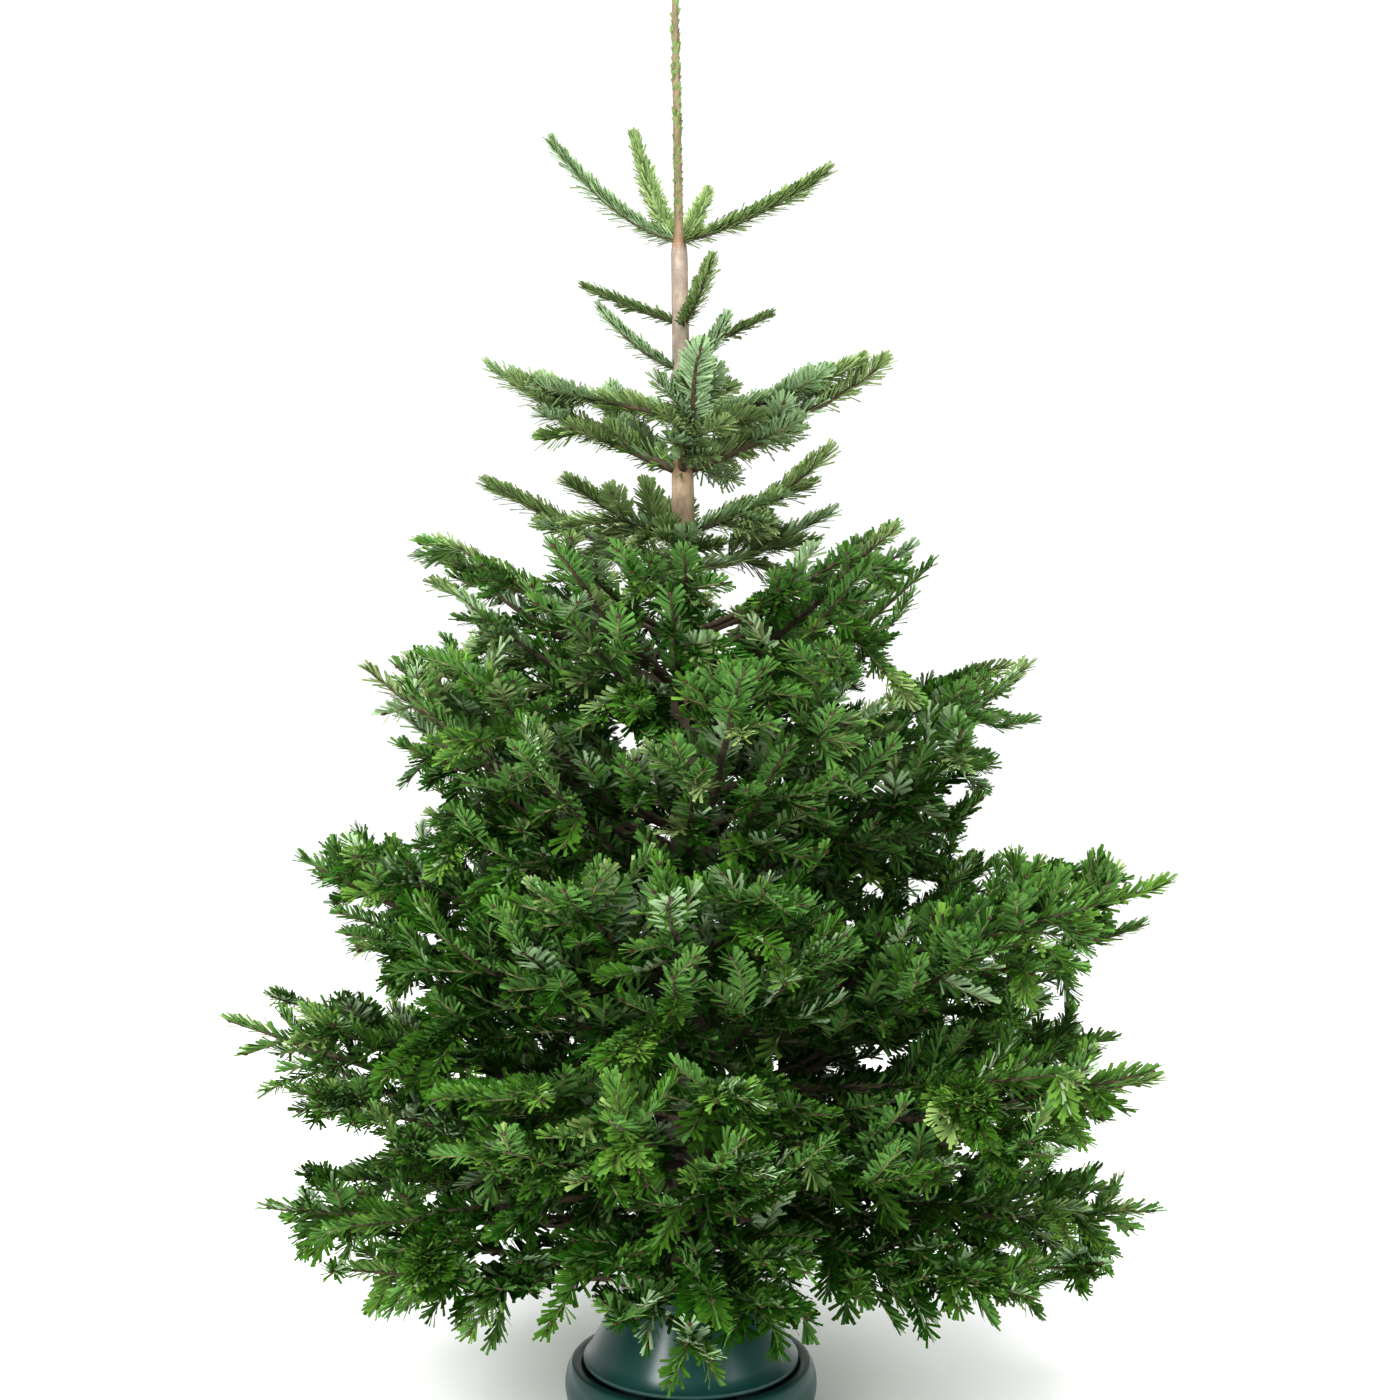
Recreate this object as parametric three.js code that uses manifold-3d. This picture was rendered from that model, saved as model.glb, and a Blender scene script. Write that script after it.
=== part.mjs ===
// A cut fir about two metres tall, clamped in a round water-holding stand.
// Millimetres, +Z up, +X to the right and -Y towards the viewer. The origin is the centre of the
// stand's flat underside. Each sub-part is one closed solid: the trunk, the bare boughs, the masses
// of needles that they carry, and the stand's dish, cone and clamp.

import * as THREE from "three";
import { mergeVertices } from "three/addons/utils/BufferGeometryUtils.js";
import Module from "manifold-3d";

const wasm = await Module();
wasm.setup();

// ---------------------------------------------------------------- driving sizes

const CLEAR = 0.4; // gap between touching solids
const TREE_TOP = 2064; // tip of the leader above the floor
const TRUNK_FOOT = 21; // flat cut of the trunk, just above the floor of the well
const FOOT_FLARE = 40; // trunk radius at the cut
const LEADER_TIP = 4; // radius of the leader at its bud
const LEAN = -24; // how far the tip of the leader stands to the side, along X
const LEAN_POWER = 1.6; // the trunk is straight below and drifts more towards the top
const COLLAR = 13; // half the height over which the trunk thins at a whorl
const CROWDING = 0.36; // widest a shoot's needles may be, as a share of the way from the trunk

// Yearly whorls from the lowest to the top one: height, and trunk radius under and over the whorl.
const WHORLS = [
  { height: 268, under: 36.5, over: 35.5 },
  { height: 385, under: 34, over: 32.5 },
  { height: 570, under: 31, over: 29 },
  { height: 795, under: 27, over: 24.5 },
  { height: 1034, under: 22, over: 19 },
  { height: 1353, under: 16, over: 13.5 },
  { height: 1683, under: 12, over: 6.5 },
];

// Dense tiers. Each is five wedge-shaped masses round the trunk. Per wedge, counted
// anticlockwise from `turn`: how far it reaches, and how high its tip stands over its whorl.
// `over` and `below` are its greatest thickness above and below the line of its main bough, `rim`
// is the share of that thickness left at the rim, and `hang` is how far the underside reaches.
const TIERS = [
  {
    name: "skirt", whorl: 0, turn: 57, inner: 64, over: 72, below: 74, rim: 0.5, hang: 0.95,
    reach: [600, 600, 596, 480, 645], rise: [60, 70, 58, 40, 40], steps: 10,
  },
  {
    name: "lower_tier", whorl: 1, turn: 46, inner: 48, over: 84, below: 90, rim: 0.6, hang: 0.98,
    reach: [640, 630, 610, 590, 650], rise: [170, 190, 172, 165, 152], steps: 10,
  },
  {
    name: "middle_tier", whorl: 2, turn: 52, inner: 46, over: 110, below: 112, rim: 0.4, hang: 0.96,
    reach: [600, 590, 548, 545, 645], rise: [245, 240, 214, 205, 180], steps: 10,
  },
  {
    name: "upper_tier", whorl: 3, turn: 0, inner: 42, over: 110, below: 160, rim: 0.36, hang: 0.95,
    reach: [505, 470, 490, 478, 450], rise: [240, 280, 280, 255, 240], steps: 8,
  },
  {
    name: "shoulder_tier", whorl: 4, turn: 36, inner: 78, over: 66, below: 122, rim: 0.36,
    hang: 0.95, bough: 7.5,
    reach: [390, 385, 388, 360, 375], rise: [200, 215, 205, 175, 195], steps: 8,
  },
  {
    name: "crown_tier", whorl: 5, azimuths: [352, 62, 122, 184, 278], halfWidth: 28, inner: 92,
    over: 48, below: 36, rim: 0.5, hang: 0.94, bough: 6,
    reach: [285, 250, 255, 266, 235], rise: [136, 130, 135, 132, 112], steps: 6,
  },
];

// Single young shoots, each clothed in needles: height on the trunk, azimuth, reach and rise of
// the tip, and the greatest half-width of its brush of needles.
const YOUNG_SHOOTS = {
  top_shoot: [
    { height: 1686, azimuth: 181, reach: 178, rise: 134, brush: 22 },
    { height: 1690, azimuth: 116, reach: 150, rise: 186, brush: 21 },
    { height: 1690, azimuth: 66, reach: 105, rise: 96, brush: 21 },
    { height: 1685, azimuth: 340, reach: 218, rise: 72, brush: 27 },
  ],
  upper_twig: [
    { height: 1568, azimuth: 178, reach: 136, rise: 50, brush: 18 },
    { height: 1500, azimuth: 196, reach: 118, rise: 78, brush: 18 },
    { height: 1533, azimuth: 4, reach: 128, rise: 46, brush: 17 },
    { height: 1562, azimuth: 292, reach: 118, rise: 62, brush: 24 },
    { height: 1478, azimuth: 304, reach: 112, rise: 74, brush: 24 },
  ],
  crown_twig: [
    { height: 1226, azimuth: 178, reach: 278, rise: 104, brush: 27 },
    { height: 1252, azimuth: 222, reach: 205, rise: 62, brush: 40 },
    { height: 1212, azimuth: 18, reach: 226, rise: 84, brush: 38 },
    { height: 1262, azimuth: 332, reach: 226, rise: 96, brush: 40 },
    { height: 1222, azimuth: 272, reach: 190, rise: 20, brush: 36 },
    { height: 1238, azimuth: 98, reach: 205, rise: 84, brush: 38 },
  ],
};

// The stand.
const DISH_RADIUS = 182; // widest, at the rounded rim
const DISH_SOLE = 160; // radius of the flat underside
const DISH_HEIGHT = 68;
const SEAM_RADIUS = 157; // where the cone stands in the dish
const CONE_TOP_RADIUS = 92;
const CONE_TOP = 188;
const WALL = 5;
const WELL_RADIUS = 60; // outside of the water well
const WELL_FLOOR = 20.5;
const CLAW_COUNT = 4;
const CLAW_AZIMUTH = 210; // first claw; the others follow at equal angles
const CLAW_WIDTH = 16;
const CLAW_TOP = 236;

const ROUND = 24; // segments round the stand

const COLOURS = {
  bark: { color: 0x8a7458, roughness: 0.85, metalness: 0 },
  needles: { color: 0x2f5a2a, roughness: 0.6, metalness: 0 },
  young_needles: { color: 0x4d7a45, roughness: 0.6, metalness: 0 },
  green_plastic: { color: 0x0d3b34, roughness: 0.25, metalness: 0 },
  black_plastic: { color: 0x14171a, roughness: 0.5, metalness: 0 },
};

// ---------------------------------------------------------------- helpers

const materials = Object.fromEntries(
  Object.entries(COLOURS).map(([name, look]) => [
    name,
    new THREE.MeshStandardMaterial({ name, ...look }),
  ]),
);
const tree = new THREE.Group();

function place(name, geometry, material) {
  const mesh = new THREE.Mesh(geometry, materials[material]);
  mesh.name = name;
  tree.add(mesh);
}

const lerp = THREE.MathUtils.lerp;
const radians = THREE.MathUtils.degToRad;

// An uneven number between -1 and 1 that depends only on its arguments.
function uneven(a, b = 0, c = 0) {
  const s = Math.sin(a * 12.9898 + b * 78.233 + c * 37.719) * 43758.5453;
  return 2 * (s - Math.floor(s)) - 1;
}

function trunkCentre(z) {
  const share = THREE.MathUtils.clamp(z / TREE_TOP, 0, 1);
  return new THREE.Vector3(LEAN * share ** LEAN_POWER, 0, z);
}

// A point at a distance from the trunk's centre line, in the direction of the azimuth.
function around(azimuth, distance, z) {
  const a = radians(azimuth);
  return trunkCentre(z).add(
    new THREE.Vector3(Math.cos(a) * distance, Math.sin(a) * distance, 0),
  );
}

// Heights and radii that the trunk is lofted through.
function trunkStations() {
  const stations = [
    { z: TRUNK_FOOT, radius: FOOT_FLARE },
    { z: TRUNK_FOOT + 60, radius: WHORLS[0].under + 1 },
  ];
  WHORLS.forEach(({ height, under, over }, i) => {
    const next = WHORLS[i + 1];
    stations.push({ z: height - COLLAR, radius: under });
    stations.push({ z: height + COLLAR, radius: over });
    if (next)
      stations.push({
        z: (height + next.height) / 2,
        radius: (over + next.under) / 2,
      });
  });
  const top = WHORLS.at(-1);
  stations.push({ z: lerp(top.height, TREE_TOP, 0.5), radius: lerp(top.over, LEADER_TIP, 0.4) });
  stations.push({ z: TREE_TOP, radius: LEADER_TIP });
  return stations;
}

function trunkRadius(z) {
  const stations = trunkStations();
  const i = Math.max(1, stations.findIndex((s) => s.z >= z));
  const a = stations[i - 1];
  const b = stations[i];
  return lerp(a.radius, b.radius, (z - a.z) / (b.z - a.z));
}

// A closed limb: a cylinder whose rings are moved onto the given sections. A section is the
// ring's centre, its direction and its half-width; flat squeezes the ring's height.
function loft(sections, sides, flat = 1) {
  const rings = sections.length - 1;
  const geometry = new THREE.CylinderGeometry(1, 1, rings, sides, rings, false);
  const position = geometry.attributes.position;
  const up = new THREE.Vector3(0, 0, 1);
  for (let i = 0; i < position.count; i++) {
    const ring = Math.round(position.getY(i) + rings / 2);
    const { centre, direction, radius } = sections[ring];
    const across = Math.abs(direction.z) > 0.99
      ? new THREE.Vector3(1, 0, 0)
      : new THREE.Vector3().crossVectors(up, direction).normalize();
    const other = new THREE.Vector3().crossVectors(across, direction).normalize();
    const at = centre
      .clone()
      .addScaledVector(across, radius * position.getX(i))
      .addScaledVector(other, radius * flat * position.getZ(i));
    position.setXYZ(i, at.x, at.y, at.z);
  }
  return geometry;
}

// The line of a limb that leaves the trunk nearly level and then turns up to its tip.
function limbLine({ height, azimuth, reach, rise }, from) {
  return new THREE.QuadraticBezierCurve3(
    around(azimuth, from, height),
    around(azimuth, lerp(from, reach, 0.55), height + rise * 0.22),
    around(azimuth, reach, height + rise),
  );
}

function limbSections(line, steps, radiusAt, end = 1) {
  return Array.from({ length: steps + 1 }, (_, i) => {
    const t = (end * i) / steps;
    return {
      centre: line.getPoint(t),
      direction: line.getTangent(t),
      radius: radiusAt(i / steps),
    };
  });
}

// ---------------------------------------------------------------- trunk

function buildTrunk() {
  const sections = trunkStations().map(({ z, radius }) => ({
    centre: trunkCentre(z),
    direction: new THREE.Vector3(0, 0, 1),
    radius,
  }));
  place("trunk", loft(sections, 10), "bark");
}

// ---------------------------------------------------------------- foliage

// One wedge of a tier: a box whose width runs round the trunk, whose depth runs outwards, and
// whose top and underside follow the bough's rise. Its rim is lobed where shoots stand out.
function wedge(tier, index) {
  const whorl = WHORLS[tier.whorl];
  const count = tier.reach.length;
  const azimuth = tier.azimuths?.[index] ?? tier.turn + (360 / count) * index;
  const halfAngle = tier.halfWidth ?? 180 / count;
  const sideGap = 7; // half the open slot between neighbouring wedges
  const rings = 4;
  const geometry = new THREE.BoxGeometry(2, 1, 1, tier.steps, rings, 1);
  const position = geometry.attributes.position;
  for (let i = 0; i < position.count; i++) {
    const side = -position.getX(i);
    const out = position.getY(i) + 0.5;
    const top = position.getZ(i) > 0;
    const column = Math.round(((side + 1) / 2) * tier.steps);
    const row = Math.round(out * rings);
    const lobe = (column % 2 ? 0.04 : -0.055) + 0.03 * uneven(index, column, tier.whorl);
    const rim = tier.reach[index] * (top ? 1 : tier.hang) * (1 - 0.2 * side * side + lobe);
    const share = out ** 0.85;
    const distance = lerp(tier.inner, rim, share);
    const slot = THREE.MathUtils.radToDeg(Math.asin(Math.min(1, sideGap / distance)));
    const angle = azimuth + side * (halfAngle - slot);
    const climb = share ** 1.15 * (1 - 0.22 * side * side);
    const axis = whorl.height + tier.rise[index] * climb;
    const body = 0.28 + 0.72 * Math.sin(Math.PI * Math.min(1, share * 0.72 + 0.06)) ** 0.8;
    const closing = row === rings ? tier.rim : 1;
    const edge = 0.55 + 0.45 * Math.cos((side * Math.PI) / 2);
    const bumps = 1 + 0.12 * uneven(column, row, index + tier.whorl);
    const thick = (top ? tier.over : -tier.below) * body * closing * edge * bumps;
    const at = around(angle, distance, axis + thick);
    position.setXYZ(i, at.x, at.y, at.z);
  }
  return geometry;
}

function buildTier(tier) {
  tier.reach.forEach((reach, index) => {
    const number = index + 1;
    const azimuth = tier.azimuths?.[index] ?? tier.turn + (360 / tier.reach.length) * index;
    place(`${tier.name}_foliage_${number}`, wedge(tier, index), "needles");
    if (!tier.bough) return;
    const { height } = WHORLS[tier.whorl];
    const from = trunkRadius(height) + CLEAR + 1.6;
    const line = limbLine({ height, azimuth, reach, rise: tier.rise[index] }, from);
    const shown = (tier.inner - from - tier.bough * 0.5) / ((reach - from) * 1.1);
    const radiusAt = (t) => tier.bough * (1 - 0.16 * t);
    place(`${tier.name}_bough_${number}`, loft(limbSections(line, 3, radiusAt, shown), 6), "bark");
  });
}

// A young shoot as the soft sleeve that its needles fill, flatter than it is wide. Near the trunk
// it is narrow, because its neighbours crowd it there.
function buildShoot(name, shoot) {
  const from = trunkRadius(shoot.height) + 5;
  const line = limbLine(shoot, from);
  const halfWidth = (t) => {
    const swell = 0.42 + 0.58 * Math.sin(Math.PI * (0.12 + 0.76 * t)) ** 0.7;
    return Math.min(shoot.brush * swell, CROWDING * lerp(from, shoot.reach, t));
  };
  place(name, loft(limbSections(line, 5, halfWidth), 6, 0.62), "young_needles");
}

// ---------------------------------------------------------------- stand

function lathe(points) {
  const geometry = new THREE.LatheGeometry(
    points.map(([r, z]) => new THREE.Vector2(r, z)),
    ROUND,
  );
  return geometry.rotateX(Math.PI / 2);
}

// The dish and the water well in its middle are one moulding.
function buildDish() {
  const rim = new THREE.EllipseCurve(DISH_SOLE, 37, DISH_RADIUS - DISH_SOLE, 37, -Math.PI / 2, Math.PI / 2 - 0.55);
  const outside = rim.getPoints(6).map((p) => [p.x, p.y]);
  const lip = CONE_TOP + CLEAR;
  const inside = WELL_RADIUS - WALL;
  place(
    "stand_dish",
    lathe([
      [0, 0],
      ...outside,
      [SEAM_RADIUS + 1.5, DISH_HEIGHT],
      [SEAM_RADIUS - WALL, DISH_HEIGHT - 4],
      [SEAM_RADIUS - WALL - 3, 12],
      [WELL_RADIUS, 12],
      [WELL_RADIUS, lip],
      [WELL_RADIUS + 8, lip],
      [WELL_RADIUS + 8, lip + 3],
      [inside, lip + 3],
      [inside, WELL_FLOOR],
      [0, WELL_FLOOR],
    ]),
    "green_plastic",
  );
}

const coneRadius = (z) => lerp(SEAM_RADIUS - 1, CONE_TOP_RADIUS, (z - DISH_HEIGHT) / (CONE_TOP - DISH_HEIGHT));

function buildCone() {
  const foot = DISH_HEIGHT + CLEAR + 0.6;
  const shoulder = CONE_TOP - 10;
  place(
    "stand_cone",
    lathe([
      [SEAM_RADIUS - 1 - WALL, foot],
      [SEAM_RADIUS - 1, foot],
      [coneRadius(120), 120],
      [coneRadius(shoulder), shoulder],
      [CONE_TOP_RADIUS - 6, CONE_TOP],
      [WELL_RADIUS + 1, CONE_TOP],
      [WELL_RADIUS + 1, CONE_TOP - WALL],
      [CONE_TOP_RADIUS - 8, CONE_TOP - WALL],
      [coneRadius(120) - WALL, 120],
      [SEAM_RADIUS - 1 - WALL, foot],
    ]),
    "green_plastic",
  );
}

// A closed three.js geometry as a manifold-3d solid, and back.
function solid(geometry) {
  const bare = geometry.clone();
  bare.deleteAttribute("normal");
  bare.deleteAttribute("uv");
  const merged = mergeVertices(bare, 1e-3);
  return new wasm.Manifold(
    new wasm.Mesh({
      numProp: 3,
      vertProperties: merged.attributes.position.array,
      triVerts: new Uint32Array(merged.index.array),
    }),
  );
}

function toGeometry(made) {
  const mesh = made.getMesh();
  return new THREE.BufferGeometry()
    .setAttribute("position", new THREE.BufferAttribute(mesh.vertProperties, 3))
    .setIndex(new THREE.BufferAttribute(mesh.triVerts, 1));
}

// One claw, drawn in the plane of its azimuth: it lies along the cone, climbs over the shoulder
// and leans in until its pad meets the trunk.
function claw() {
  const stand = 3; // how far the claw stands off the cone
  const thick = 8;
  const low = 132;
  const pad = trunkRadius(CLAW_TOP) + CLEAR + 1.4;
  const ringTop = CONE_TOP + 8;
  const shape = new THREE.Shape();
  shape.moveTo(coneRadius(low) + stand, low);
  shape.lineTo(coneRadius(low) + stand + thick, low + 3);
  shape.lineTo(coneRadius(CONE_TOP) + stand + thick, CONE_TOP - 2);
  shape.quadraticCurveTo(CONE_TOP_RADIUS + thick, CONE_TOP + 22, CONE_TOP_RADIUS - 14, CONE_TOP + 30);
  shape.lineTo(pad + 6, CLAW_TOP);
  shape.lineTo(pad, CLAW_TOP);
  shape.lineTo(pad, CLAW_TOP - 24);
  shape.lineTo(pad + 6, CLAW_TOP - 26);
  shape.lineTo(CONE_TOP_RADIUS - 18, ringTop);
  shape.lineTo(CONE_TOP_RADIUS + 1, CONE_TOP + 4);
  shape.closePath();
  const depth = CLAW_WIDTH;
  return new THREE.ExtrudeGeometry(shape, { depth, bevelEnabled: false, curveSegments: 3 })
    .translate(0, 0, -depth / 2)
    .rotateX(Math.PI / 2);
}

function buildClamp() {
  const low = CONE_TOP + CLEAR;
  const high = CONE_TOP + 9;
  const inner = WELL_RADIUS + 10;
  const outer = CONE_TOP_RADIUS - 8;
  let clamp = solid(
    lathe([
      [inner, low],
      [outer, low],
      [outer, high],
      [inner, high],
      [inner, low],
    ]),
  );
  for (let i = 0; i < CLAW_COUNT; i++) {
    const turn = radians(CLAW_AZIMUTH + (360 / CLAW_COUNT) * i);
    clamp = clamp.add(solid(claw().rotateZ(turn)));
  }
  place("stand_clamp", toGeometry(clamp), "black_plastic");
}

// ---------------------------------------------------------------- assembly

buildTrunk();
TIERS.forEach(buildTier);
Object.entries(YOUNG_SHOOTS).forEach(([name, shoots]) => {
  shoots.forEach((shoot, index) => buildShoot(`${name}_${index + 1}`, shoot));
});
buildDish();
buildCone();
buildClamp();

export default tree;
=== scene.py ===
"""The looks of a cut fir in its water stand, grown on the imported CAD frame. All sizes are in metres.

Each CAD mass of needles is replaced by boughs that leave the trunk, branch by one seeded rule and
carry needles and buds. The trunk, the boughs and the stand are replaced by finished pieces.
"""

import math
from collections import defaultdict, deque

import bpy
import numpy as np
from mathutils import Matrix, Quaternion, Vector
from mathutils.bvhtree import BVHTree
from mathutils.kdtree import KDTree


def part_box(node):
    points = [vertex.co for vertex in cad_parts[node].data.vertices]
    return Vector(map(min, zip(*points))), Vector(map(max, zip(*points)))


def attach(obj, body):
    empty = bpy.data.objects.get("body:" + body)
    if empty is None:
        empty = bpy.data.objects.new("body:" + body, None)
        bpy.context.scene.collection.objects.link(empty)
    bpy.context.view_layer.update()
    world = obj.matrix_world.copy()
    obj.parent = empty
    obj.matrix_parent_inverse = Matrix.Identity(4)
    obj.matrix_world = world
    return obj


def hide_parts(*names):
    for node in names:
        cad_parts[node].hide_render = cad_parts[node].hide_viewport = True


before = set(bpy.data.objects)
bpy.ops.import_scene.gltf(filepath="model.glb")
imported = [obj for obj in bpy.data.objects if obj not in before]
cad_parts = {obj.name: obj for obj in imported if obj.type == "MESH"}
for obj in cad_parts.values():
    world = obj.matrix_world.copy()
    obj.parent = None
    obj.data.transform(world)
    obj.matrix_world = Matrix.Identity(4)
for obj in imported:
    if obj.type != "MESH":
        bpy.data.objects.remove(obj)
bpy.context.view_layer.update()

rng = np.random.default_rng(20)

UP = Vector((0, 0, 1))

# ---------------- driving sizes of the tree

WHORLS = [0.268, 0.385, 0.570, 0.795, 1.034, 1.353, 1.683]

# Per tier: the whorl its boughs leave, the years its boughs have grown, how much their shoots turn
# up each year, how much of a bough's slope its side shoots keep, and how many smaller boughs leave
# the trunk over and under each bough. Then the habit of its shoots: how freely they leave their
# mass, how far apart they stand, how far the needles lean from the shoot, a spray's thickness as a
# share of its width, and the needles' length as a share of the usual one.
LOW = {"slack": 0.012, "room": 0.92, "lean": 1.0, "thick": 0.62, "brush": 1.0}
HIGH = {"slack": 0.03, "room": 0.55, "lean": 0.9, "thick": 0.8, "brush": 1.2}
TIERS = {
    "skirt": {"whorl": 0, "years": 6, "lift": -0.16, "slope": 0.4, "over": 2, "under": 2, **LOW},
    "lower_tier": {"whorl": 1, "years": 6, "lift": -0.14, "slope": 0.3, "over": 2, "under": 2, **LOW},
    "middle_tier": {"whorl": 2, "years": 6, "lift": -0.11, "slope": 0.3, "over": 2, "under": 3, **LOW},
    "upper_tier": {"whorl": 3, "years": 5, "lift": -0.06, "slope": 0.3, "over": 2, "under": 3, **LOW},
    "shoulder_tier": {"whorl": 4, "years": 4, "lift": -0.02, "slope": 0.4, "over": 2, "under": 2, **LOW},
    "crown_tier": {"whorl": 5, "years": 3, "lift": 0.12, "slope": 0.8, "over": 1, "under": 0, **HIGH},
}
# The single shoots near the top. Their needles' length comes from the thickness of their CAD sleeve.
YOUNG = {"lift": 0.06, "slope": 1.0, "slack": 0.035, "room": 0.6, "lean": 0.64, "thick": 0.95}

SHELL = 0.05  # how deep under a mass's surface the shoots and needles thin out
RIM_ROOM = 0.040  # how near two shoots may come at a mass's surface
CORE_ROOM = 0.058  # and deep inside it
SHORTEST_STEP = 0.050  # a yearly shoot shorter than this isn't grown
SIDE_RATIO = 0.74  # a side axis's yearly growth as a share of its parent's
SIDE_ANGLES = (32, 48)  # degrees that side axes spread from a yearly node
STRAY_ANGLES = (38, 62)  # degrees that the smaller axes spread from along a shoot
STRAYS = (4, 2, 1)  # how many of those a shoot carries, for each order
OUTWARD_PULL = 0.28  # how much each year's shoot turns away from the trunk, for each order
DEEPEST_ORDER = 3
AXIS_TIP = 0.0016  # radius of the wood at the end of an axis
LAYERING = 1.3  # how much nearer shoots may come over and under each other than side by side
FILL_GAP = 0.039  # a place this far from any wood gets a short shoot
SLEEVE_RADIUS = 0.022  # of a single shoot with full-length needles
SLEEVE_ENDS = 7  # points at each end of a single shoot's CAD sleeve
BARE_REACH = 0.075  # no needles on a bough nearer to the trunk than this
SHOWING_DEPTH = 0.025  # buds are made on tips no deeper in their mass than this
# Where drooping shoots hang, as the nearest and furthest distance from the trunk.
HANGING = {"skirt": (0.24, 0.50), "lower_tier": (0.08, 0.34), "middle_tier": (0.08, 0.34)}

# How thickly a shoot is clothed by its age in years, in the tiers and then near the top.
CLOTHED = (1.0, 0.95, 0.75, 0.5, 0.35, 0.25, 0.2)
TOP_CLOTHED = (1.0, 0.6, 0.25)
# How much closer the needles stand near the top, where each shoot shows.
TOP_FULLNESS = {"top_shoot": 2.6, "upper_twig": 2.2, "crown_twig": 1.6, "crown_tier": 1.7}
NEEDLE_COUNT = 250000
NEEDLE_LENGTH = 0.0235
NEEDLE_WIDTH = 0.0028
NEEDLE_RIDGE = 0.0004  # half the needle's thickness
PIECE_LIMIT = 190000  # triangles in one piece


# ---------------- materials

def material(name, colour, roughness, gloss=0.5):
    """A new material with its node tree and its shader."""
    made = bpy.data.materials.new(name)
    made.use_nodes = True
    shader = made.node_tree.nodes["Principled BSDF"]
    shader.inputs["Base Color"].default_value = (*colour, 1)
    shader.inputs["Roughness"].default_value = roughness
    shader.inputs["Specular IOR Level"].default_value = gloss
    return made, made.node_tree, shader


def noise(tree, scale, detail, stretch=(1, 1, 1), roughness=0.6):
    """Noise on the piece's own coordinates, stretched along its axes."""
    place = tree.nodes.new("ShaderNodeTexCoord")
    mapping = tree.nodes.new("ShaderNodeMapping")
    mapping.inputs["Scale"].default_value = stretch
    texture = tree.nodes.new("ShaderNodeTexNoise")
    texture.inputs["Scale"].default_value = scale
    texture.inputs["Detail"].default_value = detail
    texture.inputs["Roughness"].default_value = roughness
    tree.links.new(place.outputs["Object"], mapping.inputs["Vector"])
    tree.links.new(mapping.outputs["Vector"], texture.inputs["Vector"])
    return texture.outputs["Fac"]


def ramp(tree, value, stops):
    """A colour ramp with the given (position, colour) stops."""
    node = tree.nodes.new("ShaderNodeValToRGB")
    elements = node.color_ramp.elements
    while len(elements) < len(stops):
        elements.new(0.5)
    for element, (position, colour) in zip(elements, stops):
        element.position = position
        element.color = (*colour, 1)
    tree.links.new(value, node.inputs["Fac"])
    return node.outputs["Color"]


def mixed(tree, mode, share, first, second):
    """Two colours blended by a mode, the second one by its share."""
    node = tree.nodes.new("ShaderNodeMix")
    node.data_type = "RGBA"
    node.blend_type = mode
    node.inputs["Factor"].default_value = share
    tree.links.new(first, node.inputs["A"])
    tree.links.new(second, node.inputs["B"])
    return node.outputs["Result"]


def bumped(tree, shader, height, distance, strength):
    node = tree.nodes.new("ShaderNodeBump")
    node.inputs["Distance"].default_value = distance
    node.inputs["Strength"].default_value = strength
    tree.links.new(height, node.inputs["Height"])
    tree.links.new(node.outputs["Normal"], shader.inputs["Normal"])


def spread(tree, value, low, high):
    """A 0 to 1 value laid over another range, for roughness."""
    node = tree.nodes.new("ShaderNodeMapRange")
    node.inputs["To Min"].default_value = low
    node.inputs["To Max"].default_value = high
    tree.links.new(value, node.inputs["Value"])
    return node.outputs["Result"]


def trunk_bark_finish():
    """Brown-grey bark at the foot, pale tan young wood above, with rusty rings at the whorls."""
    made, tree, shader = material("trunk_bark", (0.3, 0.22, 0.14), 0.8)
    place = tree.nodes.new("ShaderNodeTexCoord")
    split = tree.nodes.new("ShaderNodeSeparateXYZ")
    height = tree.nodes.new("ShaderNodeMapRange")
    height.inputs["From Max"].default_value = 2.1
    tree.links.new(place.outputs["Object"], split.inputs["Vector"])
    tree.links.new(split.outputs["Z"], height.inputs["Value"])
    old, grey = (0.085, 0.062, 0.045), (0.16, 0.125, 0.09)
    tan, pale, rust, leader = (0.46, 0.35, 0.24), (0.34, 0.28, 0.225), (0.24, 0.14, 0.08), (0.23, 0.165, 0.10)
    tone = ramp(tree, height.outputs["Result"], [
        (0.0, old), (0.42, grey), (0.585, tan), (0.635, tan), (0.645, rust), (0.655, leader),
        (0.70, pale), (0.794, pale), (0.801, rust), (0.808, leader), (1.0, leader),
    ])
    blotch = ramp(tree, noise(tree, 38, 6), [(0.3, (0.5, 0.5, 0.5)), (0.7, (1.0, 1.0, 1.0))])
    streak = noise(tree, 150, 4, stretch=(1, 1, 0.22), roughness=0.7)
    lines = ramp(tree, streak, [(0.32, (0.45, 0.42, 0.4)), (0.6, (1.0, 1.0, 1.0))])
    shaded = mixed(tree, "MULTIPLY", 0.75, tone, blotch)
    tree.links.new(mixed(tree, "MULTIPLY", 0.6, shaded, lines), shader.inputs["Base Color"])
    tree.links.new(spread(tree, streak, 0.65, 0.95), shader.inputs["Roughness"])
    bumped(tree, shader, streak, 0.002, 0.5)
    return made


def bough_bark_finish(name, dark, light):
    made, tree, shader = material(name, light, 0.75)
    grain = noise(tree, 120, 5)
    tree.links.new(ramp(tree, grain, [(0.34, dark), (0.62, light)]), shader.inputs["Base Color"])
    tree.links.new(spread(tree, grain, 0.6, 0.9), shader.inputs["Roughness"])
    bumped(tree, shader, grain, 0.001, 0.45)
    return made


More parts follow.
